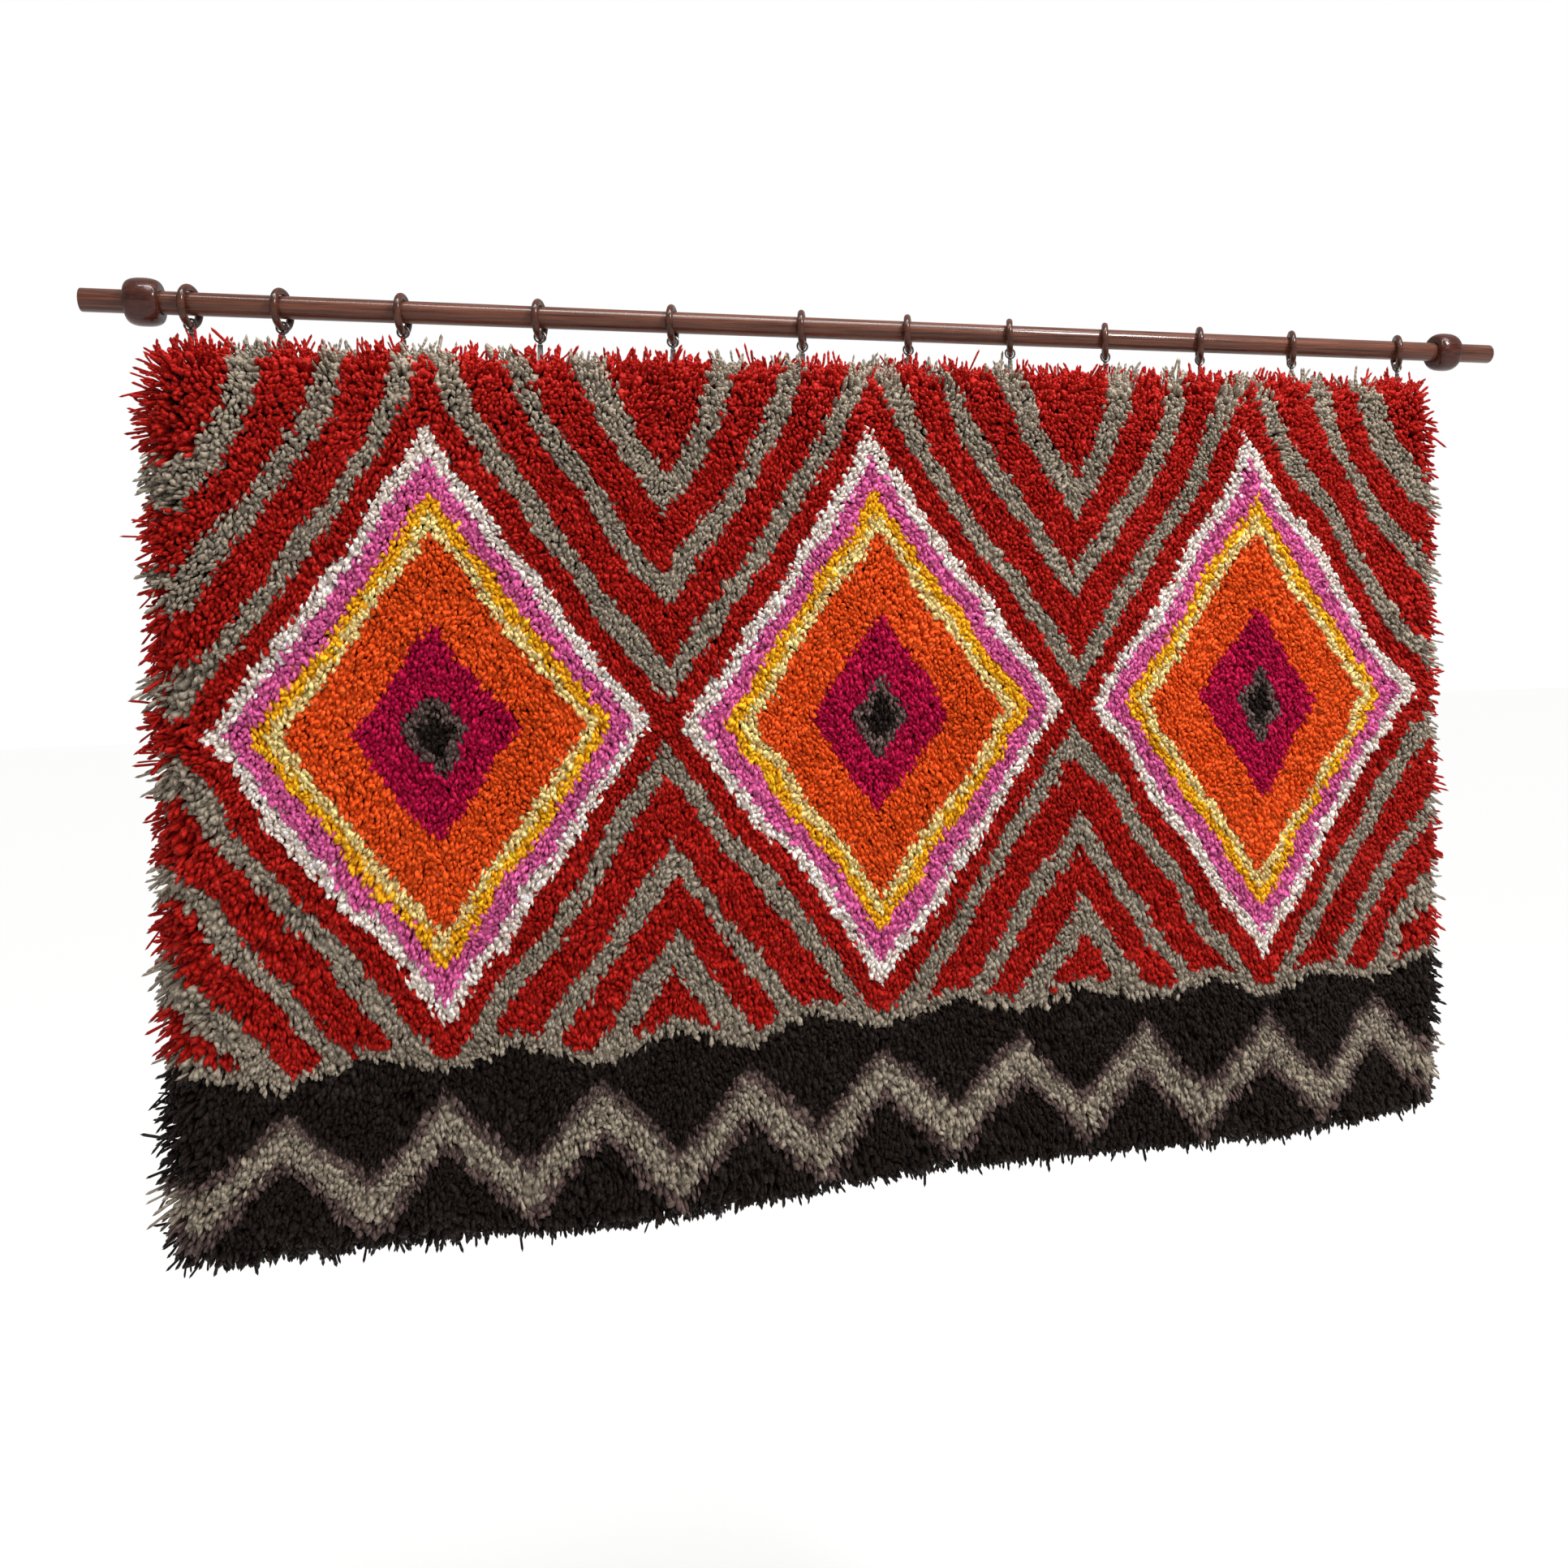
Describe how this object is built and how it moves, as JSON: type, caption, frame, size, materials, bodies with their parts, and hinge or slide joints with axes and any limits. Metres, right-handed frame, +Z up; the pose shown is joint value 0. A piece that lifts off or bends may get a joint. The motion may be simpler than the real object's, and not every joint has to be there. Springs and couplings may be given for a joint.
{
  "type": "shag wall hanging on a wooden rod",
  "caption": "Knotted shag rug in diamonds and zigzags on a hemmed canvas, held by metal clips on rings round a stained wooden rod with turned knobs.",
  "frame": {"origin": "on the rod's axis, at the middle of its length", "axes": "+X along the rod to the viewer's right, +Y from the pile towards the wall, +Z up"},
  "size_m": [1.554, 0.0644, 0.9633],
  "materials": {
    "rod_wood": "dark stain, lacquered",
    "knob_wood": "dark stain, glossy lacquer",
    "ring_wood": "dark stain, lacquered",
    "clip_steel": "dull plated",
    "canvas": "open cotton canvas",
    "wool_red": "wool yarn",
    "wool_orange": "wool yarn",
    "wool_magenta": "wool yarn",
    "wool_pink": "wool yarn",
    "wool_white": "wool yarn",
    "wool_yellow": "wool yarn",
    "wool_straw": "wool yarn",
    "wool_greige": "wool yarn",
    "wool_taupe": "wool yarn",
    "wool_dark": "wool yarn"
  },
  "bodies": {
    "root": {"rod": "rod_wood", "knob_left": "knob_wood", "knob_right": "knob_wood", "canvas": "canvas", "pile": "wool_red", "ring_01": "ring_wood", "ring_02": "ring_wood", "ring_03": "ring_wood", "ring_04": "ring_wood", "ring_05": "ring_wood", "ring_06": "ring_wood", "ring_07": "ring_wood", "ring_08": "ring_wood", "ring_09": "ring_wood", "ring_10": "ring_wood", "ring_11": "ring_wood", "ring_12": "ring_wood", "clip_01": "clip_steel", "clip_02": "clip_steel", "clip_03": "clip_steel", "clip_04": "clip_steel", "clip_05": "clip_steel", "clip_06": "clip_steel", "clip_07": "clip_steel", "clip_08": "clip_steel", "clip_09": "clip_steel", "clip_10": "clip_steel", "clip_11": "clip_steel", "clip_12": "clip_steel"}
  },
  "joints": []
}
